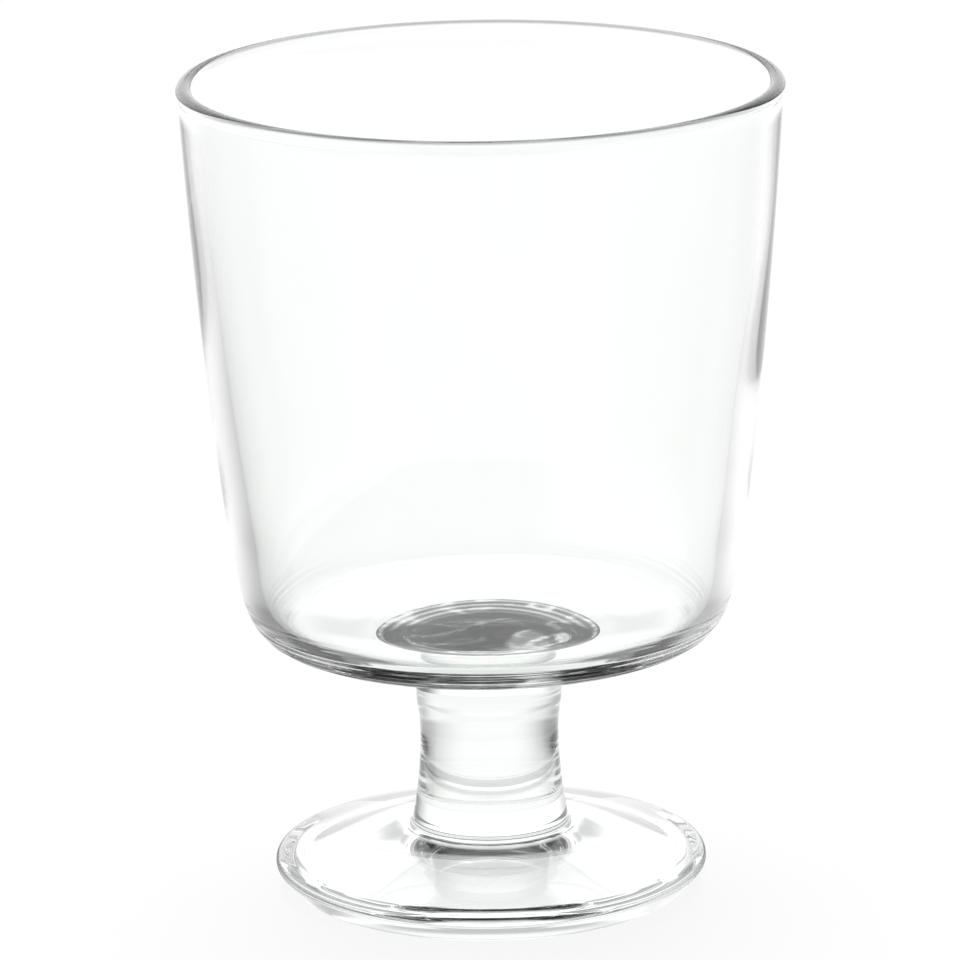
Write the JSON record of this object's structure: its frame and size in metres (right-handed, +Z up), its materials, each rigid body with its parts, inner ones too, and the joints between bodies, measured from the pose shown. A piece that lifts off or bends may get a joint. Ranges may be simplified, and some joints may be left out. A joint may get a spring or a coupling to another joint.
{
  "type": "goblet",
  "caption": "Clear glass goblet for drinks: a wide flaring bowl with a rounded heel and rim, a short solid waisted stem and a round conical foot to stand on.",
  "frame": {"origin": "centre of the foot's resting ring, on the plane that the goblet stands on", "axes": "+Z up along the goblet's axis of revolution, from the foot to the rim"},
  "size_m": [0.082, 0.082, 0.113],
  "materials": {
    "clear_glass": "clear fire-polished soda-lime glass with a faint green-grey tint where the glass is thick"
  },
  "bodies": {
    "root": {"bowl": "clear_glass", "stem": "clear_glass", "foot": "clear_glass"}
  },
  "joints": []
}
